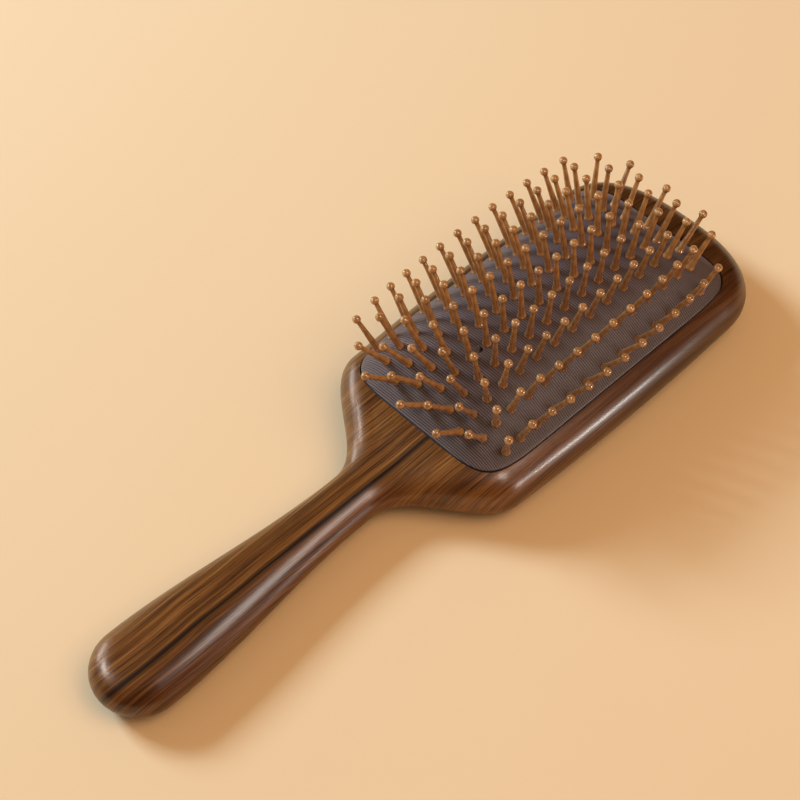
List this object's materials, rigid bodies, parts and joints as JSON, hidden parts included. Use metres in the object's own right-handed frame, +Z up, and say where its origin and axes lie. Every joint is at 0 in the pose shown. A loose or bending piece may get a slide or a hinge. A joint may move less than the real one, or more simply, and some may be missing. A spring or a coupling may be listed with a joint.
{
  "type": "hairbrush",
  "caption": "Wooden paddle hairbrush with a domed air cushion of ribbed rubber and staggered rows of ball-tipped pins.",
  "frame": {"origin": "centre of the bounding box on the plane that the brush lies on, with its pins up", "axes": "+X along the brush from the handle's butt to the head's far end, +Y to the left seen from the butt, +Z up out of the pin side"},
  "size_m": [0.238, 0.0738, 0.0445],
  "materials": {
    "wood": "satin lacquer",
    "cushion_rubber": "fine ribs, matt",
    "pin_plastic": "gloss"
  },
  "bodies": {
    "paddle": {"paddle_body": "wood"},
    "cushion": {"air_cushion": "cushion_rubber"},
    "pin_row_1": {"row_1_pins_1": "pin_plastic", "row_1_pins_2": "pin_plastic", "row_1_pins_3": "pin_plastic", "row_1_pins_4": "pin_plastic", "row_1_pins_5": "pin_plastic"},
    "pin_row_2": {"row_2_pins_1": "pin_plastic", "row_2_pins_2": "pin_plastic", "row_2_pins_3": "pin_plastic", "row_2_pins_4": "pin_plastic", "row_2_pins_5": "pin_plastic"},
    "pin_row_3": {"row_3_pins_1": "pin_plastic", "row_3_pins_2": "pin_plastic", "row_3_pins_3": "pin_plastic", "row_3_pins_4": "pin_plastic", "row_3_pins_5": "pin_plastic"},
    "pin_row_4": {"row_4_pins_1": "pin_plastic", "row_4_pins_2": "pin_plastic", "row_4_pins_3": "pin_plastic", "row_4_pins_4": "pin_plastic", "row_4_pins_5": "pin_plastic"},
    "pin_row_5": {"row_5_pins_1": "pin_plastic", "row_5_pins_2": "pin_plastic", "row_5_pins_3": "pin_plastic", "row_5_pins_4": "pin_plastic", "row_5_pins_5": "pin_plastic"},
    "pin_row_6": {"row_6_pins_1": "pin_plastic", "row_6_pins_2": "pin_plastic", "row_6_pins_3": "pin_plastic", "row_6_pins_4": "pin_plastic", "row_6_pins_5": "pin_plastic"},
    "pin_row_7": {"row_7_pins_1": "pin_plastic", "row_7_pins_2": "pin_plastic", "row_7_pins_3": "pin_plastic", "row_7_pins_4": "pin_plastic", "row_7_pins_5": "pin_plastic"},
    "pin_row_8": {"row_8_pins_1": "pin_plastic", "row_8_pins_2": "pin_plastic", "row_8_pins_3": "pin_plastic", "row_8_pins_4": "pin_plastic", "row_8_pins_5": "pin_plastic"},
    "pin_row_9": {"row_9_pins_1": "pin_plastic", "row_9_pins_2": "pin_plastic", "row_9_pins_3": "pin_plastic", "row_9_pins_4": "pin_plastic", "row_9_pins_5": "pin_plastic"}
  },
  "joints": [
    {"name": "cushion_press", "type": "slide", "parent": "paddle", "child": "cushion", "axis": [0, 0, -1], "range_m": [0, 0.003], "stiffness_N_per_m": 1500, "deforming": ["air_cushion"]},
    {"name": "pin_row_1_rock", "type": "hinge", "parent": "cushion", "child": "pin_row_1", "pos_m": [0.0535, -0.02688, 0.02066], "axis": [1, 0, 0], "range_deg": [-12, 12], "stiffness_Nm_per_rad": 0.05},
    {"name": "pin_row_2_rock", "type": "hinge", "parent": "cushion", "child": "pin_row_2", "pos_m": [0.0535, -0.02016, 0.02533], "axis": [1, 0, 0], "range_deg": [-12, 12], "stiffness_Nm_per_rad": 0.05},
    {"name": "pin_row_3_rock", "type": "hinge", "parent": "cushion", "child": "pin_row_3", "pos_m": [0.0535, -0.01344, 0.02781], "axis": [1, 0, 0], "range_deg": [-12, 12], "stiffness_Nm_per_rad": 0.05},
    {"name": "pin_row_4_rock", "type": "hinge", "parent": "cushion", "child": "pin_row_4", "pos_m": [0.0535, -0.00672, 0.02875], "axis": [1, 0, 0], "range_deg": [-12, 12], "stiffness_Nm_per_rad": 0.05},
    {"name": "pin_row_5_rock", "type": "hinge", "parent": "cushion", "child": "pin_row_5", "pos_m": [0.0535, 0, 0.0289], "axis": [1, 0, 0], "range_deg": [-12, 12], "stiffness_Nm_per_rad": 0.05},
    {"name": "pin_row_6_rock", "type": "hinge", "parent": "cushion", "child": "pin_row_6", "pos_m": [0.0535, 0.00672, 0.02875], "axis": [1, 0, 0], "range_deg": [-12, 12], "stiffness_Nm_per_rad": 0.05},
    {"name": "pin_row_7_rock", "type": "hinge", "parent": "cushion", "child": "pin_row_7", "pos_m": [0.0535, 0.01344, 0.02781], "axis": [1, 0, 0], "range_deg": [-12, 12], "stiffness_Nm_per_rad": 0.05},
    {"name": "pin_row_8_rock", "type": "hinge", "parent": "cushion", "child": "pin_row_8", "pos_m": [0.0535, 0.02016, 0.02533], "axis": [1, 0, 0], "range_deg": [-12, 12], "stiffness_Nm_per_rad": 0.05},
    {"name": "pin_row_9_rock", "type": "hinge", "parent": "cushion", "child": "pin_row_9", "pos_m": [0.0535, 0.02688, 0.02066], "axis": [1, 0, 0], "range_deg": [-12, 12], "stiffness_Nm_per_rad": 0.05}
  ]
}
